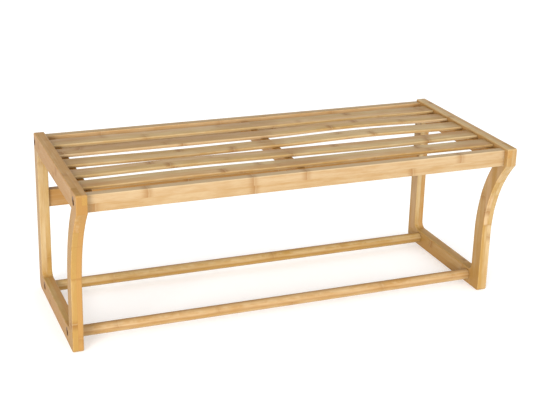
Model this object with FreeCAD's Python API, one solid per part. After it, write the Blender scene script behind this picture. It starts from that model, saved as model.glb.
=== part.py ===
"""Slatted entryway bench: two bamboo side frames, rails, seat slats on bearers, and two floor rods.

Millimetres, +Z up, +X along the bench. The origin is on the floor under the middle of the bench,
and the front is at -Y. Each physical piece is written to its own STEP file in parts/.
"""
import FreeCAD, Part
import math
import os

V = FreeCAD.Vector
X_AXIS = V(1, 0, 0)
Y_AXIS = V(0, 1, 0)
Z_AXIS = V(0, 0, 1)

# ---------------------------------------------------------------- driving dimensions
bench_length = 800.0           # over the outer faces of the two side frames
frame_depth = 349.0            # back of the legs to the front of the top rails
frame_height = 303.5           # floor to the top of the side frames

# side frames
board_thickness = 19.0         # thickness of both side frames
top_rail_height = 33.0
bottom_rail_height = 31.5
back_leg_depth = 27.5
front_leg_depth = 29.0
foot_set_back = 61.0           # front foot behind the front of the top rail
upright_front_height = 32.0    # flat front above the curved sweep of the front leg
sweep_radius = 235.0           # hollow front face of the front leg
inner_corner_radius = 12.0     # round corners inside the frame, at the back leg and the foot
heel_corner_radius = 14.0      # round outer corner at the bottom of the back
toe_corner_radius = 5.0        # round corner at the bottom of the front foot
top_corner_radius = 3.0        # round corners at the ends of the top rail
frame_edge_radius = 1.6        # eased edges of the side frames
leg_housing_depth = 5.0        # how far the back leg sits into each rail
foot_heel_length = 34.0        # the front foot's stub behind the leg, under the rod
lap_height = 16.5              # tongue of the top rail over the front leg
lap_thickness = 9.5            # tongue's share of the board, on the inner side

# rails between the frames
rail_thickness = 16.0
front_rail_height = 30.0
front_rail_set_back = 11.3     # behind the front of the side frames
back_rail_height = 30.0
lower_rail_height = 33.0
lower_rail_floor_height = 165.0
rail_edge_radius = 1.6
rail_end_clearance = 0.1

# seat
seat_drop = 4.5                # slat tops below the tops of the side frames
slat_count = 5
slat_width = 36.0
slat_thickness = 6.0
slat_edge_radius = 2.6
slat_end_clearance = 0.5
bearer_height = 19.0
end_bearer_width = 18.0
centre_bearer_width = 16.0
bearer_edge_radius = 1.0
bearer_end_clearance = 0.1

# floor rods
rod_diameter = 20.0
rod_axis_height = 18.0
front_rod_from_back = 245.0
back_rod_from_back = 49.0
rod_end_clearance = 0.1
rod_edge_radius = 1.0

# connecting screws, with hexagon sockets, through the side frames
screw_shank_diameter = 6.3
screw_head_diameter = 10.0
screw_head_height = 3.5
screw_head_depth = 2.5         # head's top below the outer face of the frame
screw_length = 45.0            # under the head
screw_tip_length = 3.0
screw_socket_width = 4.0
screw_socket_depth = 2.4
screw_hole_clearance = 0.05
screw_recess_clearance = 0.25
rail_screw_above_middle = 2.5  # the rails' screws sit above their mid-height, over a dowel

# wood screws of the seat and the end bearers
wood_screw_diameter = 3.5
wood_screw_head_diameter = 7.0
wood_screw_head_height = 2.2
wood_screw_tip_length = 3.0
wood_screw_cross_width = 0.9
wood_screw_cross_length = 4.2
wood_screw_cross_depth = 1.2
slat_screw_length = 15.0
slat_screw_sink = 8.0          # head's top inside the bearer's underside
end_bearer_screw_length = 28.0
end_bearer_screw_sink = 0.4

# beech dowels
frame_dowel_diameter = 8.0
frame_dowel_length = 26.0
rail_dowel_diameter = 6.0
rail_dowel_length = 20.0
rail_dowel_in_frame = 8.0
rail_dowel_below_middle = 8.5
lower_rail_dowel_spacing = 16.0
bearer_dowel_length = 22.0
bearer_dowel_in_rail = 9.0
dowel_edge_radius = 0.8
dowel_clearance = 0.05
dowel_end_clearance = 0.5

# ---------------------------------------------------------------- derived places
y_back = frame_depth / 2
y_front = -frame_depth / 2
x_outer = bench_length / 2
x_inner = x_outer - board_thickness

top_rail_underside = frame_height - top_rail_height
y_back_leg_front = y_back - back_leg_depth
y_foot_front = y_front + foot_set_back
y_foot_back = y_foot_front + front_leg_depth
y_foot_heel = y_foot_back + foot_heel_length

# The sweep is an arc that leaves the upright foot and ends at the upright front of the top rail.
sweep_top = frame_height - upright_front_height
sweep_rise = math.sqrt(foot_set_back * (2 * sweep_radius - foot_set_back))
sweep_start = sweep_top - sweep_rise
y_sweep_centre = y_foot_front - sweep_radius
leg_back_radius = sweep_radius + front_leg_depth
y_lap_shoulder = y_sweep_centre + math.sqrt(leg_back_radius ** 2 - (top_rail_underside - sweep_start) ** 2)
lap_underside = frame_height - lap_height

seat_top = frame_height - seat_drop
slat_underside = seat_top - slat_thickness
bearer_underside = slat_underside - bearer_height
y_front_rail_front = y_front + front_rail_set_back
y_front_rail_back = y_front_rail_front + rail_thickness
y_back_rail_front = y_back - rail_thickness
y_lower_rail_front = y_back - (back_leg_depth + rail_thickness) / 2
front_rail_middle = seat_top - front_rail_height / 2
back_rail_middle = seat_top - back_rail_height / 2
lower_rail_middle = lower_rail_floor_height + lower_rail_height / 2
seat_opening = y_back_rail_front - y_front_rail_back
slat_gap = (seat_opening - slat_count * slat_width) / (slat_count + 1)
slat_pitch = slat_width + slat_gap
slat_middles = [y_back_rail_front - slat_pitch * (i + 1) + slat_width / 2 for i in range(slat_count)]

# centres of the connecting screws, as (y, z) on the side frames
rail_screw_places = [
    (y_front_rail_front + rail_thickness / 2, front_rail_middle + rail_screw_above_middle),
    (y_back - rail_thickness / 2, back_rail_middle + rail_screw_above_middle),
]
rod_screw_places = [
    (y_back - front_rod_from_back, rod_axis_height),
    (y_back - back_rod_from_back, rod_axis_height),
]


# ---------------------------------------------------------------- shared shapes
def box(x0, x1, y0, y1, z0, z1):
    return Part.makeBox(x1 - x0, y1 - y0, z1 - z0, V(x0, y0, z0))


def edges_along(shape, axis):
    """The straight edges of a shape that run along one axis."""
    found = []
    for edge in shape.Edges:
        ends = [v.Point for v in edge.Vertexes]
        if len(ends) == 2 and isinstance(edge.Curve, (Part.Line, Part.LineSegment)):
            run = ends[1].sub(ends[0])
            if abs(abs(run.dot(axis)) - run.Length) < 1e-6:
                found.append(edge)
    return found


def eased_board(x0, x1, y0, y1, z0, z1, axis, radius):
    """A board with its long edges rounded."""
    board = box(x0, x1, y0, y1, z0, z1)
    return board.makeFillet(radius, edges_along(board, axis))


def eased_pin(centre, axis, length, diameter, edge_radius):
    """A round pin about its centre, with both ends eased."""
    pin = Part.makeCylinder(diameter / 2, length, centre - axis * (length / 2), axis)
    rims = [edge for edge in pin.Edges if isinstance(edge.Curve, Part.Circle)]
    return pin.makeFillet(edge_radius, rims)


def dowel_hole(centre, axis, length, diameter):
    """The drilled hole for one dowel: a little wider and deeper than the dowel at both ends."""
    deep = length + 2 * dowel_end_clearance
    return Part.makeCylinder(diameter / 2 + dowel_clearance, deep, centre - axis * (deep / 2), axis)


def mirrored(shape):
    """The same piece on the other end of the bench."""
    return shape.mirror(V(0, 0, 0), X_AXIS)


def on_both_ends(shapes):
    return shapes + [mirrored(shape) for shape in shapes]


# ---------------------------------------------------------------- fasteners
def hexagon(width, depth, top):
    """A hexagonal prism hanging down from a point on its top face."""
    corner = width / math.sqrt(3)
    points = [V(corner * math.cos(math.radians(60 * i)), corner * math.sin(math.radians(60 * i)), 0) for i in range(7)]
    prism = Part.Face(Part.makePolygon(points)).extrude(V(0, 0, -depth))
    prism.translate(top)
    return prism


def aimed(shape, tip, direction):
    """Turns a screw made with its head's top at the origin and its shank down -Z, and places it."""
    shape.Placement = FreeCAD.Placement(tip, FreeCAD.Rotation(V(0, 0, -1), direction))
    return shape


def connecting_screw():
    head = Part.makeCylinder(screw_head_diameter / 2, screw_head_height, V(0, 0, -screw_head_height))
    shank_length = screw_length - screw_tip_length
    shank_end = -screw_head_height - shank_length
    shank = Part.makeCylinder(screw_shank_diameter / 2, shank_length, V(0, 0, shank_end))
    tip = Part.makeCone(screw_shank_diameter / 4, screw_shank_diameter / 2, screw_tip_length,
                        V(0, 0, shank_end - screw_tip_length))
    whole = head.fuse([shank, tip]).removeSplitter()
    return whole.cut(hexagon(screw_socket_width, screw_socket_depth, V(0, 0, 0)))


def wood_screw(length):
    """A countersunk cross-head screw; its length counts the head."""
    shank_diameter = wood_screw_diameter
    head = Part.makeCone(shank_diameter / 2, wood_screw_head_diameter / 2, wood_screw_head_height,
                         V(0, 0, -wood_screw_head_height))
    tip_start = wood_screw_tip_length - length
    shank = Part.makeCylinder(shank_diameter / 2, -wood_screw_head_height - tip_start, V(0, 0, tip_start))
    tip = Part.makeCone(shank_diameter / 8, shank_diameter / 2, wood_screw_tip_length, V(0, 0, -length))
    whole = head.fuse([shank, tip]).removeSplitter()
    half = wood_screw_cross_length / 2
    slot = box(-half, half, -wood_screw_cross_width / 2, wood_screw_cross_width / 2, -wood_screw_cross_depth, 1)
    cross_slot = slot.copy()
    cross_slot.rotate(V(0, 0, 0), Z_AXIS, 90)
    return whole.cut([slot, cross_slot])


def frame_screw(place):
    """A connecting screw in the right-hand side frame, head outwards."""
    y, z = place
    return aimed(connecting_screw(), V(x_outer - screw_head_depth, y, z), V(-1, 0, 0))


def frame_screw_hole(place):
    """Clearance for one connecting screw: its shank's hole and the wider recess for its head."""
    y, z = place
    recess_depth = screw_head_depth + screw_head_height
    hole_radius = screw_shank_diameter / 2 + screw_hole_clearance
    recess_radius = screw_head_diameter / 2 + screw_recess_clearance
    hole_length = screw_length + recess_depth + dowel_end_clearance
    hole = Part.makeCylinder(hole_radius, hole_length, V(x_outer - hole_length, y, z), X_AXIS)
    recess = Part.makeCylinder(recess_radius, recess_depth + 1, V(x_outer - recess_depth, y, z), X_AXIS)
    return hole.fuse(recess)


def wood_screw_hole(length, sink, head_top, direction):
    """Clearance for one wood screw: countersink, shank and a straight bore behind the head."""
    shank_radius = wood_screw_diameter / 2 + screw_hole_clearance
    head_radius = wood_screw_head_diameter / 2 + screw_hole_clearance
    shank = Part.makeCylinder(shank_radius, length, V(0, 0, -length))
    countersink = Part.makeCone(shank_radius, head_radius, wood_screw_head_height, V(0, 0, -wood_screw_head_height))
    bore = Part.makeCylinder(head_radius, sink + 1)
    return aimed(shank.fuse([countersink, bore]), head_top, direction)


# ---------------------------------------------------------------- dowel places on the right-hand end
rail_dowel_middle_x = x_inner + rail_dowel_in_frame - rail_dowel_length / 2

frame_dowel_places = [
    # through the back leg's top, beside the back rail's screw
    (V(x_inner + board_thickness / 2, y_back_leg_front + back_leg_depth * 0.3, top_rail_underside + leg_housing_depth),
     Z_AXIS),
    # through the back leg's foot
    (V(x_inner + board_thickness / 2, y_back - back_leg_depth / 2, bottom_rail_height - leg_housing_depth), Z_AXIS),
    # between the bottom rail and the front foot's heel
    (V(x_inner + board_thickness / 2, y_foot_heel, bottom_rail_height / 2), Y_AXIS),
]
upper_rail_dowel_places = [
    V(rail_dowel_middle_x, y_front_rail_front + rail_thickness / 2, front_rail_middle - rail_dowel_below_middle),
    V(rail_dowel_middle_x, y_back - rail_thickness / 2, back_rail_middle - rail_dowel_below_middle),
]
lower_rail_dowel_places = [
    V(rail_dowel_middle_x, y_lower_rail_front + rail_thickness / 2, lower_rail_middle + side * lower_rail_dowel_spacing / 2)
    for side in (-1, 1)
]
bearer_middle_height = slat_underside - bearer_height / 2
bearer_dowel_offset = bearer_dowel_in_rail - bearer_dowel_length / 2
bearer_dowel_places = [
    V(0, y_front_rail_back - bearer_dowel_offset, bearer_middle_height),
    V(0, y_back_rail_front + bearer_dowel_offset, bearer_middle_height),
]


def rail_dowel_holes(places):
    right = [dowel_hole(place, X_AXIS, rail_dowel_length, rail_dowel_diameter) for place in places]
    return on_both_ends(right)


def bearer_dowel_holes():
    return [dowel_hole(place, Y_AXIS, bearer_dowel_length, rail_dowel_diameter) for place in bearer_dowel_places]


# ---------------------------------------------------------------- side frames
def arc_point(radius, height):
    """A point at a given height on an arc about the sweep's centre."""
    return (y_sweep_centre + math.sqrt(radius ** 2 - (height - sweep_start) ** 2), height)


def rounded_outline(points):
    """A closed face at x = x_inner from (y, z, corner radius) points and (y, z, 0, through) arcs.

    An entry with a fourth value is reached by an arc through that point instead of a straight line.
    """
    edges = []
    count = len(points)
    starts = []
    ends = []
    for i, (y, z, radius, *_) in enumerate(points):
        here = V(x_inner, y, z)
        if radius == 0:
            starts.append(here)
            ends.append(here)
            continue
        before = points[i - 1]
        after = points[(i + 1) % count]
        back = V(x_inner, before[0], before[1]).sub(here).normalize()
        ahead = V(x_inner, after[0], after[1]).sub(here).normalize()
        half_angle = back.getAngle(ahead) / 2
        reach = radius / math.tan(half_angle)
        entry = here + back * reach
        leave = here + ahead * reach
        bisector = (back + ahead).normalize()
        middle = here + bisector * (radius / math.sin(half_angle) - radius)
        edges.append(Part.Arc(entry, middle, leave).toShape())
        starts.append(entry)
        ends.append(leave)
    for i in range(count):
        through = points[i][3] if len(points[i]) > 3 else None
        if through:
            edges.append(Part.Arc(ends[i - 1], V(x_inner, *through), starts[i]).toShape())
        else:
            edges.append(Part.LineSegment(ends[i - 1], starts[i]).toShape())
    return Part.Face(Part.Wire(Part.__sortEdges__(edges)))


def frame_blank():
    """The right-hand side frame in one piece, with eased edges and every drilled hole."""
    middle_height = (sweep_start + sweep_top) / 2
    outer = rounded_outline([
        (y_back, 0, heel_corner_radius),
        (y_back, frame_height, top_corner_radius),
        (y_front, frame_height, top_corner_radius),
        (y_front, sweep_top, 0),
        (y_foot_front, sweep_start, 0, arc_point(sweep_radius, middle_height)),
        (y_foot_front, 0, toe_corner_radius),
    ])
    window_middle = (sweep_start + top_rail_underside) / 2
    window = rounded_outline([
        (y_back_leg_front, bottom_rail_height, inner_corner_radius),
        (y_back_leg_front, top_rail_underside, inner_corner_radius),
        (y_lap_shoulder, top_rail_underside, 0),
        (y_foot_back, sweep_start, 0, arc_point(leg_back_radius, window_middle)),
        (y_foot_back, bottom_rail_height, inner_corner_radius),
    ])
    blank = outer.cut(window).extrude(V(board_thickness, 0, 0))
    outline_edges = []
    for edge in blank.Edges:
        ends = [v.Point.x for v in edge.Vertexes]
        if abs(ends[0] - ends[-1]) < 1e-6:
            outline_edges.append(edge)
    blank = blank.makeFillet(frame_edge_radius, outline_edges)
    holes = [frame_screw_hole(place) for place in rail_screw_places + rod_screw_places]
    for centre, axis in frame_dowel_places:
        holes.append(dowel_hole(centre, axis, frame_dowel_length, frame_dowel_diameter))
    for place in upper_rail_dowel_places + lower_rail_dowel_places:
        holes.append(dowel_hole(place, X_AXIS, rail_dowel_length, rail_dowel_diameter))
    for tip in end_bearer_screw_tops:
        holes.append(wood_screw_hole(end_bearer_screw_length, end_bearer_screw_sink, tip, X_AXIS))
    return blank.cut(holes)


# screws that hold the right-hand end bearer to its top rail, between the slats
end_bearer_screw_tops = [
    V(x_inner - end_bearer_width + end_bearer_screw_sink, (slat_middles[i] + slat_middles[i + 1]) / 2,
      bearer_middle_height)
    for i in range(0, slat_count - 1)
]


def side_frame():
    """The four glued pieces of the right-hand side frame, cut from the blank at their joints."""
    blank = frame_blank()
    x0 = x_inner - 1
    x1 = x_outer + 1
    lap = box(x0, x_inner + lap_thickness, y_front - 1, y_lap_shoulder, lap_underside, frame_height + 1)
    leg_below_rail = box(x0, x1, y_front - 1, y_foot_heel, -1, top_rail_underside)
    leg_beside_rail = box(x0, x1, y_front - 1, y_lap_shoulder, top_rail_underside, frame_height + 1)
    front_leg_space = leg_below_rail.fuse(leg_beside_rail).cut(lap)
    back_leg_space = box(x0, x1, y_back_leg_front - inner_corner_radius, y_back + 1,
                         bottom_rail_height - leg_housing_depth, top_rail_underside + leg_housing_depth)
    rails = blank.cut([front_leg_space, back_leg_space]).Solids
    rails.sort(key=lambda solid: solid.CenterOfMass.z)
    return {
        "front_leg": blank.common(front_leg_space),
        "back_leg": blank.common(back_leg_space),
        "bottom_rail": rails[0],
        "top_rail": rails[-1],
    }


# ---------------------------------------------------------------- rails and rods between the frames
def cross_rail(y0, z0, height, holes):
    end = x_inner - rail_end_clearance
    rail = eased_board(-end, end, y0, y0 + rail_thickness, z0, z0 + height, X_AXIS, rail_edge_radius)
    return rail.cut(holes)


def front_rail():
    holes = on_both_ends([frame_screw_hole(rail_screw_places[0])])
    holes += rail_dowel_holes(upper_rail_dowel_places[:1])
    return cross_rail(y_front_rail_front, seat_top - front_rail_height, front_rail_height,
                      holes + bearer_dowel_holes())


def upper_back_rail():
    holes = on_both_ends([frame_screw_hole(rail_screw_places[1])])
    holes += rail_dowel_holes(upper_rail_dowel_places[1:])
    return cross_rail(y_back_rail_front, seat_top - back_rail_height, back_rail_height,
                      holes + bearer_dowel_holes())


def lower_back_rail():
    return cross_rail(y_lower_rail_front, lower_rail_floor_height, lower_rail_height,
                      rail_dowel_holes(lower_rail_dowel_places))


def floor_rod(place):
    y, z = place
    length = 2 * (x_inner - rod_end_clearance)
    rod = eased_pin(V(0, y, z), X_AXIS, length, rod_diameter, rod_edge_radius)
    return rod.cut(on_both_ends([frame_screw_hole(place)]))


# ---------------------------------------------------------------- seat
bearer_middles = [-(x_inner - end_bearer_width / 2), 0.0, x_inner - end_bearer_width / 2]
slat_screw_tops = [V(x, y, bearer_underside + slat_screw_sink) for x in bearer_middles for y in slat_middles]


def slat_screw_holes():
    return [wood_screw_hole(slat_screw_length, slat_screw_sink, top, Z_AXIS) for top in slat_screw_tops]


def slat(middle):
    end = x_inner - slat_end_clearance
    board = eased_board(-end, end, middle - slat_width / 2, middle + slat_width / 2, slat_underside, seat_top,
                        X_AXIS, slat_edge_radius)
    return board.cut(slat_screw_holes())


def bearer(middle_x, width, holes):
    y0 = y_front_rail_back + bearer_end_clearance
    y1 = y_back_rail_front - bearer_end_clearance
    board = eased_board(middle_x - width / 2, middle_x + width / 2, y0, y1, bearer_underside, slat_underside,
                        Y_AXIS, bearer_edge_radius)
    return board.cut(slat_screw_holes() + holes)


def right_end_bearer():
    holes = [wood_screw_hole(end_bearer_screw_length, end_bearer_screw_sink, tip, X_AXIS) for tip in end_bearer_screw_tops]
    return bearer(bearer_middles[2], end_bearer_width, holes)


# ---------------------------------------------------------------- the nodes
def build_nodes():
    nodes = {}
    for name, piece in side_frame().items():
        nodes["right_" + name] = piece
        nodes["left_" + name] = mirrored(piece)
    nodes["front_rail"] = front_rail()
    nodes["upper_back_rail"] = upper_back_rail()
    nodes["lower_back_rail"] = lower_back_rail()
    nodes["front_rod"] = floor_rod(rod_screw_places[0])
    nodes["back_rod"] = floor_rod(rod_screw_places[1])
    for i, middle in enumerate(slat_middles):
        nodes["slat_%d" % (i + 1)] = slat(middle)
    nodes["centre_bearer"] = bearer(bearer_middles[1], centre_bearer_width, bearer_dowel_holes())
    nodes["right_end_bearer"] = right_end_bearer()
    nodes["left_end_bearer"] = mirrored(nodes["right_end_bearer"])

    nodes["rail_screws"] = Part.makeCompound(on_both_ends([frame_screw(p) for p in rail_screw_places]))
    nodes["rod_screws"] = Part.makeCompound(on_both_ends([frame_screw(p) for p in rod_screw_places]))
    nodes["slat_screws"] = Part.makeCompound(
        [aimed(wood_screw(slat_screw_length), top, Z_AXIS) for top in slat_screw_tops])
    nodes["end_bearer_screws"] = Part.makeCompound(on_both_ends(
        [aimed(wood_screw(end_bearer_screw_length), tip, X_AXIS) for tip in end_bearer_screw_tops]))

    frame_dowels = [eased_pin(centre, axis, frame_dowel_length, frame_dowel_diameter, dowel_edge_radius)
                    for centre, axis in frame_dowel_places]
    nodes["right_frame_dowels"] = Part.makeCompound(frame_dowels)
    nodes["left_frame_dowels"] = Part.makeCompound([mirrored(dowel) for dowel in frame_dowels])
    for name, places in (("upper_rail_dowels", upper_rail_dowel_places),
                         ("lower_rail_dowels", lower_rail_dowel_places)):
        dowels = [eased_pin(place, X_AXIS, rail_dowel_length, rail_dowel_diameter, dowel_edge_radius)
                  for place in places]
        nodes[name] = Part.makeCompound(on_both_ends(dowels))
    nodes["centre_bearer_dowels"] = Part.makeCompound(
        [eased_pin(place, Y_AXIS, bearer_dowel_length, rail_dowel_diameter, dowel_edge_radius)
         for place in bearer_dowel_places])
    return nodes


def main():
    os.makedirs("parts", exist_ok=True)
    for name, shape in build_nodes().items():
        shape.exportStep("parts/%s.step" % name)
        print("%-22s solids %d  volume %.0f mm3" % (name, len(shape.Solids), shape.Volume))


main()
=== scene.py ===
"""Looks for a slatted bamboo entryway bench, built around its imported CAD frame.

Metres, +Z up, +X along the bench, the front at -Y.
"""
import math

import bmesh
import bpy
from mathutils import Matrix, Vector


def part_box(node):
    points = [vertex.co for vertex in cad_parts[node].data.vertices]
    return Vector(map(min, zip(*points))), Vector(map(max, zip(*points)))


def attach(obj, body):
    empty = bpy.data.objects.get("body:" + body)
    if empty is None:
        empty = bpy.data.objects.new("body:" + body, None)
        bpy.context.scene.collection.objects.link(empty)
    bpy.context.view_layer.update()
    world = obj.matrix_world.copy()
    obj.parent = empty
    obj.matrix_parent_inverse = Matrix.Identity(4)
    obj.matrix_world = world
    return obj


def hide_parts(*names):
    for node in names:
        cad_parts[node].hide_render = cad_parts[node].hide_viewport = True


bl_info = {
    "name": "Bamboo Entryway Bench",
    "version": (1, 0, 0),
    "blender": (4, 5, 0),
    "location": "3D View > Sidebar > Bench",
    "description": "Finishes, bowed seat slats and a studio stage for a slatted bamboo bench",
    "category": "Object",
}

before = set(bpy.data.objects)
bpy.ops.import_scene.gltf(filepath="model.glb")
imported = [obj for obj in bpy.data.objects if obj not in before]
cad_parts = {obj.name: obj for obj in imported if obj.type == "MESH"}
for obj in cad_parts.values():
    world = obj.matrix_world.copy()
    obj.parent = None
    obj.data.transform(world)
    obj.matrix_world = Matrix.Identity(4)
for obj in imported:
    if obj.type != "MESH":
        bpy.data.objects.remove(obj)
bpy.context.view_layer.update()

MM = 0.001
BODY = "root"

SLATS = sorted(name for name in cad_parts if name[:-1] == "slat_")
SIDES = ("left", "right")

# How much deeper (towards golden) or paler (below zero) each board's bamboo is than the average strip.
BOARD_TONES = {
    "left_front_leg": 0.55, "right_front_leg": 0.06,
    "left_back_leg": 0.08, "right_back_leg": 0.0,
    "left_top_rail": 0.55, "right_top_rail": 0.18,
    "left_bottom_rail": 0.60, "right_bottom_rail": 0.36,
    "front_rail": -0.42, "upper_back_rail": -0.28, "lower_back_rail": 0.46,
    # The left end bearer's deep tone is painted shade, for the pocket beside the left top rail where shade
    # falls.
    "left_end_bearer": 0.90, "centre_bearer": -0.15, "right_end_bearer": -0.15,
    "front_rod": 0.26, "back_rod": 0.36,
    "slat_1": 0.05, "slat_2": -0.12, "slat_3": 0.0, "slat_4": 0.05, "slat_5": 0.10,
}

# How much deeper each further layer of a board is than the one to its left.
LAYER_STEPS = {"left_front_leg": 0.30}

# The legs' colour is deeper towards the floor, by this much at the floor and fading out at this height.
FOOT_DEEPENING = 0.35
FOOT_HEIGHT = 0.12

# How plainly the culm's nodes show on round stock and on boards.
ROD_NODE_SHARE = 0.35
BOARD_NODE_SHARE = 0.85
PLACED_NODE_SHARE = 0.62

# The marks of one node, and how far it wanders along the grain from strip to strip.
HALO_WIDTH = 12.5 * MM
WANDER = 12 * MM
PLACED_WANDER = 6 * MM
BUNDLE_SIZE = 0.9 * MM         # fibre bundles in the sawn ends

# The screws' recesses: the radius of the painted shade inside them, and how near two points lie if they are
# on one screw.
RECESS_RADIUS = 5.6 * MM
ONE_SCREW = 12 * MM

# Each family of boards starts its strips' tones at its own seed.
SIDE_SEED = 3.0
SIDE_SEED_STEP = 7
RAIL_SEED = 21.0
SLAT_SEED = 31.0
BEARER_SEED = 41.0
ROD_SEED = 51.0

# The studio: a floor just under the feet, two lights (place, width, height) and a full-frame camera.
FLOOR_HALF_WIDTH = 14.0
FLOOR_LEVEL = -0.2 * MM
LIGHT_AIM = (0.0, 0.0, 0.2)
KEY_LIGHT = ((-3.9, -3.9, 1.4), 2.4, 1.8)
FILL_LIGHT = ((1.5, -4.3, 1.2), 2.7, 1.8)
SENSOR_WIDTH = 36.0


# ---------------------------------------------------------------- settings
class BenchSizes(bpy.types.PropertyGroup):
    """Sizes that shape the slats and the scale of the bamboo's pattern."""

    slat_edge_radius: bpy.props.FloatProperty(
        name="Slat edge radius", description="Rounding of the slats' long edges",
        default=2.6 * MM, min=0.0, subtype="DISTANCE", unit="LENGTH")
    slat_end_radius: bpy.props.FloatProperty(
        name="Slat end radius", description="Rounding of the slats' sawn ends",
        default=0.6 * MM, min=0.0, subtype="DISTANCE", unit="LENGTH")
    left_bows: bpy.props.FloatVectorProperty(
        name="Left bows", description="Rise of each slat, back to front, halfway along its left span",
        size=5, default=(-0.4 * MM, 0.0, -1.5 * MM, 1.5 * MM, 1.2 * MM), subtype="NONE", unit="LENGTH")
    right_bows: bpy.props.FloatVectorProperty(
        name="Right bows", description="Rise of each slat, back to front, halfway along its right span",
        size=5, default=(0.6 * MM, 3.7 * MM, 3.0 * MM, -1.2 * MM, 0.5 * MM), subtype="NONE", unit="LENGTH")
    strip_width: bpy.props.FloatProperty(
        name="Strip width", description="Width of one bamboo strip in a glued board",
        default=15 * MM, min=1 * MM, subtype="DISTANCE", unit="LENGTH")
    layer_thickness: bpy.props.FloatProperty(
        name="Layer thickness", description="Thickness of one layer of strips in a glued board",
        default=9 * MM, min=1 * MM, subtype="DISTANCE", unit="LENGTH")
    node_spacing: bpy.props.FloatProperty(
        name="Node spacing", description="Typical distance between the culm's nodes along a strip",
        default=0.24, min=0.02, subtype="DISTANCE", unit="LENGTH")
    upper_nodes: bpy.props.FloatVectorProperty(
        name="Upper nodes", description="Where nodes show in the front rail's upper strips, from its middle",
        size=4, default=(-0.282, -0.101, -0.005, 0.291), subtype="NONE", unit="LENGTH")
    lower_nodes: bpy.props.FloatVectorProperty(
        name="Lower nodes", description="Where nodes show in the front rail's lower strips, from its middle",
        size=3, default=(-0.368, -0.099, 0.195), subtype="NONE", unit="LENGTH")


class BenchColours(bpy.types.PropertyGroup):
    """Colours of the bamboo, the dowels and the screws, and the painted shade of the bearers and the screw
    recesses.
    """

    pale: bpy.props.FloatVectorProperty(
        name="Pale bamboo", description="The palest strips", subtype="COLOR", size=3, min=0, max=1,
        default=(0.525, 0.41, 0.245))
    golden: bpy.props.FloatVectorProperty(
        name="Golden bamboo", description="The darkest strips", subtype="COLOR", size=3, min=0, max=1,
        default=(0.33, 0.174, 0.037))
    node_brown: bpy.props.FloatVectorProperty(
        name="Node brown", description="The culm's nodes", subtype="COLOR", size=3, min=0, max=1,
        default=(0.22, 0.095, 0.02))
    pore_brown: bpy.props.FloatVectorProperty(
        name="Pore brown", description="Fibre bundles in the sawn ends",
        subtype="COLOR", size=3, min=0, max=1, default=(0.22, 0.11, 0.045))
    rosy: bpy.props.FloatVectorProperty(
        name="Rosy bamboo", description="Tint of the pinker strips", subtype="COLOR", size=3, min=0, max=1,
        default=(0.47, 0.27, 0.12))
    olive: bpy.props.FloatVectorProperty(
        name="Olive bamboo", description="Tint of the greener strips", subtype="COLOR", size=3, min=0, max=1,
        default=(0.43, 0.31, 0.115))
    # Painted shade: the bearers' pale and dark colours stand in for the shade in the narrow pockets between
    # the slats.
    bearer_shade_pale: bpy.props.FloatVectorProperty(
        name="Pale bearer shade", description="The palest strips of the bearers",
        subtype="COLOR", size=3, min=0, max=1, default=(0.62, 0.34, 0.105))
    bearer_shade_dark: bpy.props.FloatVectorProperty(
        name="Bearer shade", description="The darkest strips of the bearers",
        subtype="COLOR", size=3, min=0, max=1, default=(0.28, 0.12, 0.018))
    # Painted shade: the colour put inside the screw recesses, where shade falls.
    recess_shade: bpy.props.FloatVectorProperty(
        name="Recess shade", description="Walls of the bored screw recesses",
        subtype="COLOR", size=3, min=0, max=1, default=(0.09, 0.037, 0.012))
    beech: bpy.props.FloatVectorProperty(
        name="Beech", description="The hidden dowels", subtype="COLOR", size=3, min=0, max=1,
        default=(0.62, 0.42, 0.25))
    bronze: bpy.props.FloatVectorProperty(
        name="Bronze", description="Plating of the socket-head screws", subtype="COLOR", size=3, min=0, max=1,
        default=(0.075, 0.038, 0.016))
    zinc: bpy.props.FloatVectorProperty(
        name="Zinc", description="Plating of the wood screws", subtype="COLOR", size=3, min=0, max=1,
        default=(0.60, 0.58, 0.52))


class BenchStage(bpy.types.PropertyGroup):
    """The floor, the lights and the camera."""

    floor_colour: bpy.props.FloatVectorProperty(
        name="Floor colour", description="Plain studio floor", subtype="COLOR", size=3, min=0, max=1,
        default=(0.76, 0.76, 0.76))
    floor_glow: bpy.props.FloatProperty(
        name="Floor glow", description="Light of the floor's own, as from a lit table", default=0.45, min=0.0)
    sky_strength: bpy.props.FloatProperty(
        name="Surround strength", description="Strength of the white surround", default=0.92, min=0.0)
    key_power: bpy.props.FloatProperty(
        name="Key power", description="Soft light in front, on the left",
        default=287.0, min=0.0, unit="POWER")
    fill_power: bpy.props.FloatProperty(
        name="Fill power", description="Softer light in front, on the right",
        default=98.0, min=0.0, unit="POWER")
    camera_place: bpy.props.FloatVectorProperty(
        name="Camera place", description="Where the camera stands", size=3, subtype="XYZ", unit="LENGTH",
        default=(-0.7593, -1.8902, 0.9539))
    camera_turn: bpy.props.FloatProperty(
        name="Camera turn", description="Turn from looking straight at the front towards the right-hand end",
        default=math.radians(21.97), subtype="ANGLE", unit="ROTATION")
    camera_dip: bpy.props.FloatProperty(
        name="Camera dip", description="How far the camera looks down", default=math.radians(19.22),
        subtype="ANGLE", unit="ROTATION")
    camera_roll: bpy.props.FloatProperty(
        name="Camera roll", description="Lean of the camera to its right", default=math.radians(1.47),
        subtype="ANGLE", unit="ROTATION")
    camera_lens: bpy.props.FloatProperty(
        name="Camera lens", description="Focal length in millimetres on a 36 mm wide sensor",
        default=77.7, min=1.0)
    camera_shift: bpy.props.FloatProperty(
        name="Camera shift", description="Vertical lens shift, as a share of the frame's width",
        default=-0.062)


def sizes():
    return bpy.context.scene.bench_sizes


def colours():
    return bpy.context.scene.bench_colours


def stage_settings():
    return bpy.context.scene.bench_stage


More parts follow.
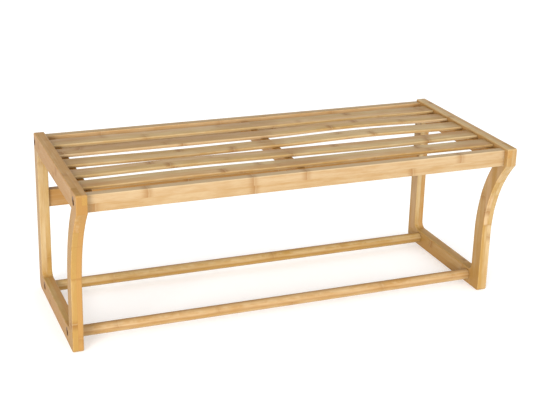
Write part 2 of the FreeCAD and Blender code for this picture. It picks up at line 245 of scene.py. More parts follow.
# ---------------------------------------------------------------- node tree helpers
class Tree:
    """Short calls for building a node tree."""

    def __init__(self, tree):
        self.tree = tree

    def add(self, kind, values=None, **settings):
        """A node with its settings, its input values and its input links; returns the node."""
        made = self.tree.nodes.new(kind)
        for name, value in settings.items():
            setattr(made, name, value)
        for name, value in (values or {}).items():
            self.feed(made.inputs[name], value)
        return made

    def feed(self, socket, value):
        if isinstance(value, bpy.types.NodeSocket):
            self.tree.links.new(value, socket)
        else:
            socket.default_value = value

    def math(self, operation, first, second=0.0, clamp=False):
        made = self.add("ShaderNodeMath", {0: first, 1: second}, operation=operation, use_clamp=clamp)
        return made.outputs[0]

    def weighed(self, start, parts):
        """A start value plus each mask times its share."""
        for mask, share in parts:
            start = self.math("ADD", start, self.math("MULTIPLY", mask, share))
        return start

    def smooth(self, value, low, high, to_low=0.0, to_high=1.0):
        """A value eased from one range into another."""
        made = self.add("ShaderNodeMapRange", {
            "Value": value, "From Min": low, "From Max": high, "To Min": to_low, "To Max": to_high},
            interpolation_type="SMOOTHSTEP")
        return made.outputs["Result"]

    def stretch(self, vector, scale):
        """A vector scaled differently along each axis."""
        return self.add("ShaderNodeVectorMath", {0: vector, 1: scale}, operation="MULTIPLY").outputs["Vector"]

    def mix(self, factor, first, second, blend="MIX"):
        made = self.add("ShaderNodeMix", data_type="RGBA", blend_type=blend)
        self.feed(made.inputs["Factor"], factor)
        self.feed(made.inputs[6], first)
        self.feed(made.inputs[7], second)
        return made.outputs[2]

    def tinted(self, base, layers):
        """A base colour with further colours laid over it, each through its mask and by its share."""
        for mask, share, colour in layers:
            base = self.mix(self.math("MULTIPLY", mask, share), base, colour4(colour))
        return base


def colour4(colour):
    return (*colour, 1.0)


def new_group(name, inputs, outputs):
    """A shader node group with named sockets; returns its tree, its given values and its results."""
    group = bpy.data.node_groups.new(name, "ShaderNodeTree")
    for socket_name, kind, default in inputs:
        socket = group.interface.new_socket(name=socket_name, in_out="INPUT", socket_type="NodeSocket" + kind)
        if default is not None:
            socket.default_value = default
    for socket_name, kind in outputs:
        group.interface.new_socket(name=socket_name, in_out="OUTPUT", socket_type="NodeSocket" + kind)
    tree = Tree(group)
    entry = tree.add("NodeGroupInput")
    leave = tree.add("NodeGroupOutput")
    return tree, entry.outputs, leave.inputs


def use_group(tree, name, values):
    """Places a node group in a tree with its own values; returns its output sockets."""
    made = tree.add("ShaderNodeGroup", node_tree=bpy.data.node_groups[name])
    for socket_name, value in values.items():
        tree.feed(made.inputs[socket_name], value)
    return made.outputs


# ---------------------------------------------------------------- shared node groups
def make_strips_group():
    """Glued strips: which strip a point lies in, that strip's own tone and shift, and the glue lines."""
    tree, given, result = new_group(
        "Glued strips",
        [("Vector", "Vector", None), ("Strip Width", "Float", 0.016), ("Layer Thickness", "Float", 0.008),
         ("Seed", "Float", 0.0)],
        [("Tone", "Float"), ("Second Tone", "Float"), ("Layer", "Float"), ("Vector", "Vector"),
         ("Glue Line", "Float")])
    parts = tree.add("ShaderNodeSeparateXYZ", {"Vector": given["Vector"]}).outputs
    across = tree.math("DIVIDE", parts["Y"], given["Strip Width"])
    through = tree.math("DIVIDE", parts["Z"], given["Layer Thickness"])
    layer = tree.math("FLOOR", through)
    cell = tree.add("ShaderNodeCombineXYZ", {
        "X": tree.math("FLOOR", across), "Y": layer, "Z": given["Seed"]}).outputs["Vector"]
    noise = tree.add("ShaderNodeTexWhiteNoise", {"Vector": cell}, noise_dimensions="3D").outputs
    tones = tree.add("ShaderNodeSeparateColor", {"Color": noise["Color"]}).outputs
    shift = tree.math("MULTIPLY", tones["Blue"], 7.0)
    moved = tree.add("ShaderNodeCombineXYZ", {
        "X": tree.math("ADD", parts["X"], shift), "Y": parts["Y"], "Z": parts["Z"]}).outputs["Vector"]
    lines = []
    for place in (across, through):
        fraction = tree.math("FRACT", place)
        lines.append(tree.math("MINIMUM", fraction, tree.math("SUBTRACT", 1.0, fraction)))
    nearest = tree.math("MINIMUM", lines[0], tree.math("MULTIPLY", lines[1], 0.5))
    tree.feed(result["Tone"], tones["Red"])
    tree.feed(result["Second Tone"], tones["Green"])
    tree.feed(result["Layer"], layer)
    tree.feed(result["Vector"], moved)
    tree.feed(result["Glue Line"], tree.smooth(nearest, 0.0, 0.022, 1.0, 0.0))


def make_marks_group():
    """Node marks: a thin dark ring with a soft brown halo and a pale lip, at a distance along the strip."""
    tree, given, result = new_group(
        "Node marks",
        [("Offset", "Float", 1.0), ("Strength", "Float", 1.0), ("Halo Width", "Float", 0.011)],
        [("Halo", "Float"), ("Ring", "Float"), ("Lip", "Float")])
    distance = tree.math("ABSOLUTE", given["Offset"])
    halo = tree.smooth(distance, 0.0, given["Halo Width"], 1.0, 0.0)
    ring = tree.smooth(distance, 0.0002, 0.0022, 1.0, 0.0)
    from_lip = tree.math("ABSOLUTE", tree.math("SUBTRACT", given["Offset"], 0.0024))
    lip = tree.smooth(from_lip, 0.0, 0.0018, 1.0, 0.0)
    for name, mask in (("Halo", halo), ("Ring", ring), ("Lip", lip)):
        tree.feed(result[name], tree.math("MULTIPLY", mask, given["Strength"]))


def make_wander_group():
    """Bent along: the place along the grain, wandering a little so that a node doesn't run dead square."""
    tree, given, result = new_group(
        "Bent along", [("Vector", "Vector", None), ("Wander", "Float", WANDER)], [("Along", "Float")])
    wander = tree.add("ShaderNodeTexNoise", {
        "Vector": tree.stretch(given["Vector"], (3.0, 70.0, 70.0)), "Scale": 1.0, "Detail": 1.0},
        noise_dimensions="3D").outputs[0]
    along = tree.add("ShaderNodeSeparateXYZ", {"Vector": given["Vector"]}).outputs["X"]
    centred = tree.math("SUBTRACT", wander, 0.5)
    tree.feed(result["Along"], tree.math("ADD", along, tree.math("MULTIPLY", centred, given["Wander"])))


def make_nodes_group():
    """Culm nodes: how far the nearest unevenly spaced node is along each strip, and how plain it is."""
    tree, given, result = new_group(
        "Culm nodes",
        [("Vector", "Vector", None), ("Spacing", "Float", 0.24)],
        [("Offset", "Float"), ("Strength", "Float")])
    bent = use_group(tree, "Bent along", {"Vector": given["Vector"], "Wander": WANDER})["Along"]
    place = tree.math("DIVIDE", bent, given["Spacing"])
    cells = tree.add("ShaderNodeTexVoronoi", {"W": place, "Scale": 1.0, "Randomness": 0.7},
                     voronoi_dimensions="1D").outputs
    own = tree.add("ShaderNodeSeparateColor", {"Color": cells["Color"]}).outputs
    tree.feed(result["Strength"], tree.smooth(own["Red"], 0.1, 0.9, 0.35, 1.0))
    offset = tree.math("SUBTRACT", place, cells["W"])
    tree.feed(result["Offset"], tree.math("MULTIPLY", offset, given["Spacing"]))


def make_placed_group():
    """Placed node: keeps whichever is nearer, the nearest so far or one at a given place in some strips."""
    tree, given, result = new_group(
        "Placed node",
        [("Along", "Float", 0.0), ("Place", "Float", 0.0), ("In Strip", "Float", 1.0),
         ("Nearest", "Float", 1.0)],
        [("Nearest", "Float")])
    outside = tree.math("SUBTRACT", 1.0, given["In Strip"])
    offset = tree.math("ADD", tree.math("SUBTRACT", given["Along"], given["Place"]), outside)
    closer = tree.math("LESS_THAN", tree.math("ABSOLUTE", offset), tree.math("ABSOLUTE", given["Nearest"]))
    change = tree.math("MULTIPLY", closer, tree.math("SUBTRACT", offset, given["Nearest"]))
    tree.feed(result["Nearest"], tree.math("ADD", given["Nearest"], change))


def make_bore_group():
    """Bored hole: 1 within a radius of a line that runs along the bench."""
    tree, given, result = new_group(
        "Bored hole",
        [("Vector", "Vector", None), ("Centre", "Vector", (0.0, 0.0, 0.0)), ("Radius", "Float", 0.005)],
        [("Inside", "Float")])
    away = tree.add("ShaderNodeVectorMath", {0: given["Vector"], 1: given["Centre"]},
                    operation="SUBTRACT").outputs["Vector"]
    flat = tree.stretch(away, (0.0, 1.0, 1.0))
    distance = tree.add("ShaderNodeVectorMath", {0: flat}, operation="LENGTH").outputs["Value"]
    tree.feed(result["Inside"], tree.math("LESS_THAN", distance, given["Radius"]))


def make_fibres_group():
    """Bamboo fibres: short dark dashes, fine and broad streaks, cloudy patches and a slow drift of tone."""
    tree, given, result = new_group(
        "Bamboo fibres",
        [("Vector", "Vector", None)],
        [("Dashes", "Float"), ("Fine", "Float"), ("Broad", "Float"), ("Clouds", "Float"), ("Drift", "Float")])
    for name, scale, detail, low, high in (("Dashes", (70.0, 1900.0, 1900.0), 1.0, 0.60, 0.74),
                                           ("Fine", (9.0, 1100.0, 1100.0), 2.0, 0.30, 0.70),
                                           ("Broad", (3.0, 210.0, 210.0), 3.0, 0.30, 0.70),
                                           ("Clouds", (26.0, 120.0, 120.0), 2.0, 0.30, 0.70),
                                           ("Drift", (6.0, 20.0, 20.0), 2.0, 0.30, 0.70)):
        noise = tree.add("ShaderNodeTexNoise", {
            "Vector": tree.stretch(given["Vector"], scale), "Scale": 1.0, "Detail": detail, "Roughness": 0.6},
            noise_dimensions="3D").outputs[0]
        tree.feed(result[name], tree.smooth(noise, low, high))


def make_ends_group():
    """Sawn ends: where the surface faces along the grain, and the fibre bundles that show there."""
    tree, given, result = new_group(
        "Sawn ends",
        [("Vector", "Vector", None), ("Facing", "Float", 0.0), ("Bundle Size", "Float", BUNDLE_SIZE)],
        [("End", "Float"), ("Bundles", "Float")])
    end = tree.smooth(tree.math("ABSOLUTE", given["Facing"]), 0.72, 0.95)
    scaled = tree.add("ShaderNodeVectorMath", {0: given["Vector"]}, operation="SCALE")
    tree.feed(scaled.inputs["Scale"], tree.math("DIVIDE", 1.0, given["Bundle Size"]))
    cells = tree.add("ShaderNodeTexVoronoi", {"Vector": scaled.outputs["Vector"], "Scale": 1.0},
                     voronoi_dimensions="3D").outputs["Distance"]
    tree.feed(result["End"], end)
    tree.feed(result["Bundles"], tree.math("MULTIPLY", end, tree.smooth(cells, 0.1, 0.5, 1.0, 0.0)))


def make_edges_group():
    """Eased edges: 1 where the surface turns between two faces of a board, with broken-up wear that is partly
    real wear and partly a painted highlight.
    """
    tree, given, result = new_group(
        "Eased edges",
        [("Vector", "Vector", None), ("Facing", "Vector", None)],
        [("Edge", "Float"), ("Wear And Highlight", "Float")])
    flat = tree.add("ShaderNodeVectorMath", {0: given["Facing"]}, operation="ABSOLUTE").outputs["Vector"]
    parts = tree.add("ShaderNodeSeparateXYZ", {"Vector": flat}).outputs
    most = tree.math("MAXIMUM", parts["X"], tree.math("MAXIMUM", parts["Y"], parts["Z"]))
    edge = tree.smooth(most, 0.72, 0.985, 1.0, 0.0)
    noise = tree.add("ShaderNodeTexNoise", {
        "Vector": given["Vector"], "Scale": 90.0, "Detail": 3.0}, noise_dimensions="3D").outputs[0]
    tree.feed(result["Edge"], edge)
    tree.feed(result["Wear And Highlight"], tree.math("MULTIPLY", edge, tree.smooth(noise, 0.42, 0.62)))


GROUP_MAKERS = {
    "Glued strips": make_strips_group,
    "Node marks": make_marks_group,
    "Bent along": make_wander_group,
    "Culm nodes": make_nodes_group,
    "Placed node": make_placed_group,
    "Bored hole": make_bore_group,
    "Bamboo fibres": make_fibres_group,
    "Sawn ends": make_ends_group,
    "Eased edges": make_edges_group,
}


def need_groups():
    """Builds each shared node group once."""
    for name, make in GROUP_MAKERS.items():
        if name not in bpy.data.node_groups:
            make()


# ---------------------------------------------------------------- materials
def new_material(name):
    """An empty material with a shader and an output; returns the material, its tree and the shader."""
    material = bpy.data.materials.new(name)
    material.use_nodes = True
    material.node_tree.nodes.clear()
    tree = Tree(material.node_tree)
    shader = tree.add("ShaderNodeBsdfPrincipled")
    output = tree.add("ShaderNodeOutputMaterial")
    tree.feed(output.inputs["Surface"], shader.outputs["BSDF"])
    return material, tree, shader


# How a board's own directions lie in the bench: along the grain, across the strips, through the layers.
GRAIN_TURNS = {
    "rail": ("X", "Z", "Y"),
    "slat": ("X", "Y", "Z"),
    "bearer": ("Y", "Z", "X"),
    "side_rail": ("Y", "Z", "X"),
    "leg": ("Z", "Y", "X"),
}


def turned(tree, vector, order):
    """A vector with its parts put in a board's own order."""
    parts = tree.add("ShaderNodeSeparateXYZ", {"Vector": vector}).outputs
    across, over, through = (parts[name] for name in order)
    return tree.add("ShaderNodeCombineXYZ", {"X": across, "Y": over, "Z": through}).outputs["Vector"]


def even_share(length, nominal):
    """The width nearest to a nominal one that divides a length evenly."""
    return length / max(1, round(length / nominal))


def placed_offset(tree, board, height):
    """How far the nearest of the front rail's chosen nodes is along its upper or lower strips."""
    size = sizes()
    along = use_group(tree, "Bent along", {"Vector": board, "Wander": PLACED_WANDER})["Along"]
    across = tree.add("ShaderNodeSeparateXYZ", {"Vector": board}).outputs["Y"]
    upper = tree.math("GREATER_THAN", across, height / 2)
    lower = tree.math("SUBTRACT", 1.0, upper)
    nearest = 1.0
    for strip, places in ((upper, size.upper_nodes), (lower, size.lower_nodes)):
        for place in places:
            nearest = use_group(tree, "Placed node", {
                "Along": along, "Place": place, "In Strip": strip, "Nearest": nearest})["Nearest"]
    return nearest


def bamboo_material(name, turn, seed, corner, strip_width, layer_thickness, in_plane=False, shades=None,
                    tint_share=0.25, node_share=BOARD_NODE_SHARE, placed_height=0.0, bores=()):
    """Glued bamboo under satin lacquer.

    corner is where the glue lines start, in the board's own order; in_plane is for pieces whose outline
    curves, so that only their long arrises count as edges; shades are the palest and deepest strips, for the
    bearers a pair of painted-shade colours; placed_height is the height of a rail whose nodes have chosen
    places; bores are the (y, z) lines of its screw recesses, which are darkened inside as painted shade.
    """
    need_groups()
    material, tree, shader = new_material(name + " bamboo")
    colour = colours()
    pale, golden = shades or (colour.pale, colour.golden)
    order = GRAIN_TURNS[turn]
    place = tree.add("ShaderNodeTexCoord").outputs
    board = turned(tree, place["Object"], order)
    facing = turned(tree, place["Normal"], order)
    board = tree.add("ShaderNodeVectorMath", {0: board, 1: corner}, operation="SUBTRACT").outputs["Vector"]
    facing_parts = tree.add("ShaderNodeSeparateXYZ", {"Vector": facing}).outputs

    strips = use_group(tree, "Glued strips", {
        "Vector": board, "Strip Width": strip_width, "Layer Thickness": layer_thickness, "Seed": seed})
    if placed_height:
        offset, strength = placed_offset(tree, board, placed_height), PLACED_NODE_SHARE
    else:
        spread = use_group(tree, "Culm nodes", {"Vector": strips["Vector"], "Spacing": sizes().node_spacing})
        offset, strength = spread["Offset"], tree.math("MULTIPLY", spread["Strength"], node_share)
    nodes = use_group(tree, "Node marks", {"Offset": offset, "Strength": strength, "Halo Width": HALO_WIDTH})
    fibres = use_group(tree, "Bamboo fibres", {"Vector": strips["Vector"]})
    ends = use_group(tree, "Sawn ends", {
        "Vector": board, "Facing": facing_parts["X"], "Bundle Size": BUNDLE_SIZE})
    if in_plane:
        outline = tree.add("ShaderNodeCombineXYZ", {
            "X": facing_parts["X"], "Y": facing_parts["Y"]}).outputs["Vector"]
        turned_in = tree.add("ShaderNodeVectorMath", {0: outline}, operation="LENGTH").outputs["Value"]
        facing = tree.add("ShaderNodeCombineXYZ", {"X": turned_in, "Z": facing_parts["Z"]}).outputs["Vector"]
    edges = use_group(tree, "Eased edges", {"Vector": board, "Facing": facing})

    clouds = tree.math("SUBTRACT", fibres["Clouds"], 0.5)
    tone = tree.weighed(0.0, ((strips["Tone"], 0.55), (fibres["Broad"], 0.30), (fibres["Drift"], 0.20),
                              (clouds, 0.30), (strips["Layer"], LAYER_STEPS.get(name, 0.0))))
    if turn == "leg":
        above_floor = tree.add("ShaderNodeSeparateXYZ", {"Vector": board}).outputs["X"]
        tone = tree.math("ADD", tone, tree.smooth(above_floor, 0.0, FOOT_HEIGHT, FOOT_DEEPENING, 0.0))
    tone = tree.math("ADD", tone, BOARD_TONES[name], clamp=True)
    base = tree.mix(tone, colour4(pale), colour4(golden))
    leaning = tree.smooth(strips["Second Tone"], 0.35, 0.65)
    tint = tree.mix(leaning, colour4(colour.rosy), colour4(colour.olive))
    # The eased edges are lightened towards pale: partly real wear, partly a painted highlight.
    shown = tree.tinted(tree.mix(tint_share, base, tint), (
        (fibres["Fine"], 0.14, colour.node_brown), (fibres["Dashes"], 0.30, colour.node_brown),
        (strips["Glue Line"], 0.35, colour.node_brown), (nodes["Halo"], 0.80, colour.node_brown),
        (nodes["Ring"], 0.28, colour.node_brown), (nodes["Lip"], 0.30, colour.pale),
        (ends["End"], 0.40, colour.golden), (ends["Bundles"], 0.70, colour.pore_brown),
        (edges["Wear And Highlight"], 0.30, colour.pale)))
    # Painted shade: each screw recess is darkened inside.
    for bore in bores:
        inside = use_group(tree, "Bored hole", {
            "Vector": place["Object"], "Centre": (0.0, *bore), "Radius": RECESS_RADIUS})["Inside"]
        shown = tree.mix(inside, shown, colour4(colour.recess_shade))
    tree.feed(shader.inputs["Base Color"], shown)

    rough = tree.weighed(0.42, ((fibres["Fine"], 0.10), (ends["End"], 0.16), (nodes["Halo"], 0.08),
                                (edges["Wear And Highlight"], -0.08)))
    tree.feed(shader.inputs["Roughness"], rough)

    height = tree.weighed(0.0, ((fibres["Fine"], 0.25), (fibres["Broad"], 0.25), (fibres["Dashes"], -0.25),
                                (strips["Glue Line"], -0.35), (nodes["Lip"], 0.5), (nodes["Ring"], -0.6),
                                (ends["Bundles"], -0.6)))
    bump = tree.add("ShaderNodeBump", {"Strength": 0.4, "Distance": 0.0002, "Height": height})
    tree.feed(shader.inputs["Normal"], bump.outputs["Normal"])
    shader.inputs["Coat Weight"].default_value = 0.03
    shader.inputs["Coat Roughness"].default_value = 0.25
    shader.inputs["Specular IOR Level"].default_value = 0.15
    return material


def metal_material(name, colour, brush_axis, roughness, metallic=1.0):
    """Plated steel with turned or brushed marks and duller spots."""
    need_groups()
    material, tree, shader = new_material(name)
    place = tree.add("ShaderNodeTexCoord").outputs["Object"]
    scale = [2500.0, 2500.0, 2500.0]
    scale["XYZ".index(brush_axis)] = 120.0
    brushed = tree.add("ShaderNodeTexNoise", {
        "Vector": tree.stretch(place, scale), "Scale": 1.0, "Detail": 2.0}, noise_dimensions="3D").outputs[0]
    spots = tree.add("ShaderNodeTexNoise", {"Vector": place, "Scale": 420.0, "Detail": 3.0},
                     noise_dimensions="3D").outputs[0]
    dull = tree.smooth(spots, 0.42, 0.64)
    darker = tuple(part * 0.55 for part in colour)
    tree.feed(shader.inputs["Base Color"], tree.tinted(colour4(colour), ((dull, 0.6, darker),)))
    tree.feed(shader.inputs["Roughness"], tree.weighed(roughness, ((dull, 0.16), (brushed, 0.10))))
    bump = tree.add("ShaderNodeBump", {"Strength": 0.25, "Distance": 0.00005, "Height": brushed})
    tree.feed(shader.inputs["Normal"], bump.outputs["Normal"])
    shader.inputs["Metallic"].default_value = metallic
    return material


def beech_material():
    """Bare turned beech with short dark flecks."""
    need_groups()
    material, tree, shader = new_material("beech")
    colour = colours()
    place = tree.add("ShaderNodeTexCoord").outputs["Object"]
    grain = tree.add("ShaderNodeTexNoise", {
        "Vector": tree.stretch(place, (60.0, 700.0, 700.0)), "Scale": 1.0, "Detail": 3.0},
        noise_dimensions="3D").outputs[0]
    flecks = tree.smooth(grain, 0.52, 0.68)
    darker = tuple(part * 0.6 for part in colour.beech)
    tree.feed(shader.inputs["Base Color"], tree.tinted(colour4(colour.beech), ((flecks, 0.6, darker),)))
    tree.feed(shader.inputs["Roughness"], tree.weighed(0.6, ((flecks, 0.15),)))
    bump = tree.add("ShaderNodeBump", {"Strength": 0.3, "Distance": 0.0001, "Height": grain})
    tree.feed(shader.inputs["Normal"], bump.outputs["Normal"])
    return material


def screw_lines():
    """Where the socket-head screws run through the side frames, as (y, z) pairs."""
    lines = []
    for node in ("rail_screws", "rod_screws"):
        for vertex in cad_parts[node].data.vertices:
            near = [line for line in lines
                    if math.hypot(vertex.co.y - line[0], vertex.co.z - line[2]) < ONE_SCREW]
            if near:
                line = near[0]
                line[:] = (min(line[0], vertex.co.y), max(line[1], vertex.co.y),
                           min(line[2], vertex.co.z), max(line[3], vertex.co.z))
            else:
                lines.append([vertex.co.y, vertex.co.y, vertex.co.z, vertex.co.z])
    return [((y_low + y_high) / 2, (z_low + z_high) / 2) for y_low, y_high, z_low, z_high in lines]


def dress(node, material):
    """Gives a CAD node one material on every slot."""
    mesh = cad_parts[node].data
    if not mesh.materials:
        mesh.materials.append(material)
    for i in range(len(mesh.materials)):
        mesh.materials[i] = material


# ---------------------------------------------------------------- slats
def rounded_section(half_width, half_height, radius, steps=5):
    """Points round a board's cross-section with rounded corners, anticlockwise, about its centre."""
    points = []
    for corner in range(4):
        sign_y = 1 if corner in (0, 3) else -1
        sign_z = 1 if corner in (0, 1) else -1
        centre_y = sign_y * (half_width - radius)
        centre_z = sign_z * (half_height - radius)
        for i in range(steps + 1):
            angle = math.radians(90) * (corner + i / steps)
            points.append((centre_y + radius * math.cos(angle), centre_z + radius * math.sin(angle)))
    return points


def bow(x, span, left, right):
    """The slat's rise at x: none at the end and middle bearers, most halfway along each span."""
    share = min(abs(x) / span, 1.0)
    rise = right if x > 0 else left
    halfway = 0.25 ** 2            # the curve's own value at a share of one half
    return rise / halfway * share ** 2 * (1 - share) ** 2


def slat_mesh(name, low, high, left_bow, right_bow, stations=61):
    """A bowed slat between two corners: rings of one rounded section, with softened ends."""
    size = sizes()
    middle_y = (low.y + high.y) / 2
    middle_z = (low.z + high.z) / 2
    half_width = (high.y - low.y) / 2
    half_height = (high.z - low.z) / 2
    left_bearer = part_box("left_end_bearer")
    span = -(left_bearer[0].x + left_bearer[1].x) / 2
    soft = size.slat_end_radius
    rings = []
    for i in range(stations):
        rings.append((low.x + soft + (high.x - low.x - 2 * soft) * i / (stations - 1), 0.0))
    for angle in (30, 60, 90):
        turn = math.radians(angle)
        inset = soft * (1 - math.cos(turn))
        reach = soft * (1 - math.sin(turn))
        rings.insert(0, (low.x + reach, inset))
        rings.append((high.x - reach, inset))
    mesh = bmesh.new()
    loops = []
    for x, inset in rings:
        rise = bow(x, span, left_bow, right_bow)
        section = rounded_section(half_width - inset, half_height - inset, size.slat_edge_radius - inset)
        loops.append([mesh.verts.new((x, middle_y + y, middle_z + z + rise)) for y, z in section])
    for before, after in zip(loops, loops[1:]):
        for i in range(len(before)):
            j = (i + 1) % len(before)
            mesh.faces.new((before[i], after[i], after[j], before[j]))
    mesh.faces.new(loops[0])
    mesh.faces.new(reversed(loops[-1]))
    bmesh.ops.recalc_face_normals(mesh, faces=mesh.faces)
    data = bpy.data.meshes.new(name)
    mesh.to_mesh(data)
    mesh.free()
    data.shade_smooth()
    return data


def add_piece(name, data, material, slot, *replaced):
    """A visible piece that rides on the bench and stands for the CAD nodes named."""
    piece = bpy.data.objects.new(name, data)
    bpy.context.scene.collection.objects.link(piece)
    data.materials.append(material)
    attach(piece, BODY)
    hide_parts(*replaced)


# ---------------------------------------------------------------- stage
def add_floor():
    """A wide pale floor under the bench."""
    setting = stage_settings()
    data = bpy.data.meshes.new("floor")
    turns = ((-1, -1), (1, -1), (1, 1), (-1, 1))
    corners = [(x * FLOOR_HALF_WIDTH, y * FLOOR_HALF_WIDTH, FLOOR_LEVEL) for x, y in turns]
    data.from_pydata(corners, [], [(0, 1, 2, 3)])
    floor = bpy.data.objects.new("floor", data)
    bpy.context.scene.collection.objects.link(floor)
    material, _, shader = new_material("studio floor")
    shader.inputs["Base Color"].default_value = colour4(setting.floor_colour)
    shader.inputs["Roughness"].default_value = 0.9
    shader.inputs["Specular IOR Level"].default_value = 0.1
    shader.inputs["Emission Color"].default_value = colour4(setting.floor_colour)
    shader.inputs["Emission Strength"].default_value = setting.floor_glow
    data.materials.append(material)


def add_surround():
    world = bpy.data.worlds.new("studio")
    world.use_nodes = True
    background = world.node_tree.nodes["Background"]
    background.inputs["Color"].default_value = (1.0, 1.0, 1.0, 1.0)
    background.inputs["Strength"].default_value = stage_settings().sky_strength
    bpy.context.scene.world = world


def add_soft_light(name, place, width, height, power):
    """A rectangular area light at a place, aimed at the bench."""
    lamp = bpy.data.lights.new(name, "AREA")
    lamp.shape = "RECTANGLE"
    lamp.size = width
    lamp.size_y = height
    lamp.energy = power
    light = bpy.data.objects.new(name, lamp)
    bpy.context.scene.collection.objects.link(light)
    light.location = place
    light.rotation_mode = "QUATERNION"
    light.rotation_quaternion = (Vector(LIGHT_AIM) - Vector(place)).to_track_quat("-Z", "Y")


def add_camera():
    """The camera at its place, turned, dipped and rolled."""
    setting = stage_settings()
    turn = setting.camera_turn
    dip = -setting.camera_dip
    roll = setting.camera_roll
    ahead = Vector((math.sin(turn) * math.cos(dip), math.cos(turn) * math.cos(dip), math.sin(dip)))
    level_right = ahead.cross(Vector((0, 0, 1))).normalized()
    level_up = level_right.cross(ahead)
    right = math.cos(roll) * level_right + math.sin(roll) * level_up
    up = -math.sin(roll) * level_right + math.cos(roll) * level_up
    lens = bpy.data.cameras.new("camera")
    lens.lens = setting.camera_lens
    lens.sensor_width = SENSOR_WIDTH
    lens.shift_y = setting.camera_shift
    lens.clip_start = 0.05
    lens.clip_end = 60.0
    camera = bpy.data.objects.new("camera", lens)
    bpy.context.scene.collection.objects.link(camera)
    turned_axes = Matrix((right, up, -ahead)).transposed().to_4x4()
    camera.matrix_world = Matrix.Translation(Vector(setting.camera_place)) @ turned_axes
    bpy.context.scene.camera = camera


# ---------------------------------------------------------------- operators
class BENCH_OT_side_frames(bpy.types.Operator):
    """Finish the legs, top rails and bottom rails of both side frames"""
    bl_idname = "bench.side_frames"
    bl_label = "Side Frames"

    def execute(self, context):
        size = sizes()
        kinds = (("front_leg", "leg"), ("back_leg", "leg"),
                 ("top_rail", "side_rail"), ("bottom_rail", "side_rail"))
        bores = screw_lines()
        for i, side in enumerate(SIDES):
            for j, (kind, turn) in enumerate(kinds):
                node = "%s_%s" % (side, kind)
                low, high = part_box(node)
                across = low.y if turn == "leg" else low.z
                layer = even_share(high.x - low.x, size.layer_thickness)
                seed = SIDE_SEED + SIDE_SEED_STEP * i + j
                dress(node, bamboo_material(node, turn, seed, (0.0, across, low.x),
                                            size.strip_width, layer, in_plane=True, bores=bores))
        return {"FINISHED"}


class BENCH_OT_rails(bpy.types.Operator):
    """Finish the front rail and the two back rails"""
    bl_idname = "bench.rails"
    bl_label = "Rails"

    def execute(self, context):
        size = sizes()
        for i, node in enumerate(("front_rail", "upper_back_rail", "lower_back_rail")):
            low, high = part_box(node)
            strip = even_share(high.z - low.z, size.strip_width)
            layer = even_share(high.y - low.y, size.layer_thickness)
            front = node == "front_rail"
            dress(node, bamboo_material(node, "rail", RAIL_SEED + i, (0.0, low.z, low.y), strip, layer,
                                        tint_share=0.06 if front else 0.25,
                                        placed_height=high.z - low.z if front else 0.0))
        return {"FINISHED"}


class BENCH_OT_slats(bpy.types.Operator):
    """Build the bowed seat slats"""
    bl_idname = "bench.slats"
    bl_label = "Seat Slats"

    def execute(self, context):
        size = sizes()
        for i, node in enumerate(SLATS):
            low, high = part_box(node)
            strip = even_share(high.y - low.y, size.strip_width)
            material = bamboo_material(node, "slat", SLAT_SEED + i, (0.0, low.y, low.z), strip,
                                       high.z - low.z)
            data = slat_mesh("bowed_" + node, low, high, size.left_bows[i], size.right_bows[i])
            add_piece("bowed_" + node, data, material, "slat_bamboo", node)
        return {"FINISHED"}


class BENCH_OT_bearers(bpy.types.Operator):
    """Finish the bearers under the slats, in colours that are painted shade"""
    bl_idname = "bench.bearers"
    bl_label = "Bearers"

    def execute(self, context):
        colour = colours()
        for i, node in enumerate(("left_end_bearer", "centre_bearer", "right_end_bearer")):
            low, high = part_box(node)
            # The bearers take the painted-shade pair of colours.
            dress(node, bamboo_material(node, "bearer", BEARER_SEED + i, (0.0, low.z, low.x),
                                        high.z - low.z, high.x - low.x,
                                        shades=(colour.bearer_shade_pale, colour.bearer_shade_dark), tint_share=0.0))
        return {"FINISHED"}


class BENCH_OT_rods(bpy.types.Operator):
    """Finish the two floor rods"""
    bl_idname = "bench.rods"
    bl_label = "Floor Rods"

    def execute(self, context):
        size = sizes()
        for i, node in enumerate(("front_rod", "back_rod")):
            low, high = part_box(node)
            layer = even_share(high.y - low.y, size.layer_thickness)
            dress(node, bamboo_material(node, "rail", ROD_SEED + i, (0.0, low.z, low.y), layer, layer,
                                        in_plane=True, node_share=ROD_NODE_SHARE))
        return {"FINISHED"}


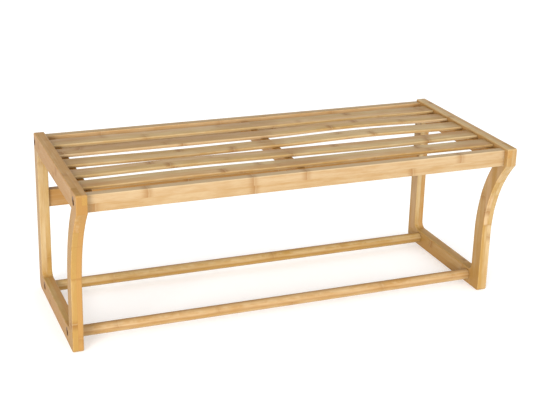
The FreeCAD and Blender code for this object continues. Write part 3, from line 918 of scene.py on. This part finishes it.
class BENCH_OT_fasteners(bpy.types.Operator):
    """Finish the screws and dowels"""
    bl_idname = "bench.fasteners"
    bl_label = "Screws and Dowels"

    def execute(self, context):
        colour = colours()
        bronze = metal_material("bronze plated steel", tuple(colour.bronze), "X", 0.5, metallic=0.35)
        zinc = metal_material("zinc plated steel", tuple(colour.zinc), "Z", 0.28)
        beech = beech_material()
        for node in ("rail_screws", "rod_screws"):
            dress(node, bronze)
        for node in ("slat_screws", "end_bearer_screws"):
            dress(node, zinc)
        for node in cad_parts:
            if node.endswith("_dowels"):
                dress(node, beech)
        return {"FINISHED"}


class BENCH_OT_stage(bpy.types.Operator):
    """Set up the floor, the lights and the camera"""
    bl_idname = "bench.stage"
    bl_label = "Stage"

    def execute(self, context):
        setting = stage_settings()
        add_floor()
        add_surround()
        add_soft_light("key", *KEY_LIGHT, setting.key_power)
        add_soft_light("fill", *FILL_LIGHT, setting.fill_power)
        add_camera()
        context.scene.view_settings.view_transform = "Standard"
        return {"FINISHED"}


class BENCH_PT_panel(bpy.types.Panel):
    """Lists the bench's operators and settings"""
    bl_idname = "BENCH_PT_panel"
    bl_label = "Bench"
    bl_space_type = "VIEW_3D"
    bl_region_type = "UI"
    bl_category = "Bench"

    def draw(self, context):
        for operator in OPERATORS:
            self.layout.operator(operator.bl_idname)
        for group in SETTING_GROUPS:
            box = self.layout.box()
            settings = getattr(context.scene, SETTING_GROUPS[group])
            for name in group.__annotations__:
                box.prop(settings, name)


OPERATORS = (BENCH_OT_side_frames, BENCH_OT_rails, BENCH_OT_slats, BENCH_OT_bearers, BENCH_OT_rods,
             BENCH_OT_fasteners, BENCH_OT_stage)
SETTING_GROUPS = {BenchSizes: "bench_sizes", BenchColours: "bench_colours", BenchStage: "bench_stage"}


def register():
    for group, name in SETTING_GROUPS.items():
        bpy.utils.register_class(group)
        setattr(bpy.types.Scene, name, bpy.props.PointerProperty(type=group))
    for operator in OPERATORS:
        bpy.utils.register_class(operator)
    bpy.utils.register_class(BENCH_PT_panel)


def unregister():
    bpy.utils.unregister_class(BENCH_PT_panel)
    for operator in reversed(OPERATORS):
        bpy.utils.unregister_class(operator)
    for group, name in SETTING_GROUPS.items():
        delattr(bpy.types.Scene, name)
        bpy.utils.unregister_class(group)


def main():
    register()
    for operator in OPERATORS:
        category, name = operator.bl_idname.split(".")
        getattr(getattr(bpy.ops, category), name)()


if __name__ == "__main__":
    main()
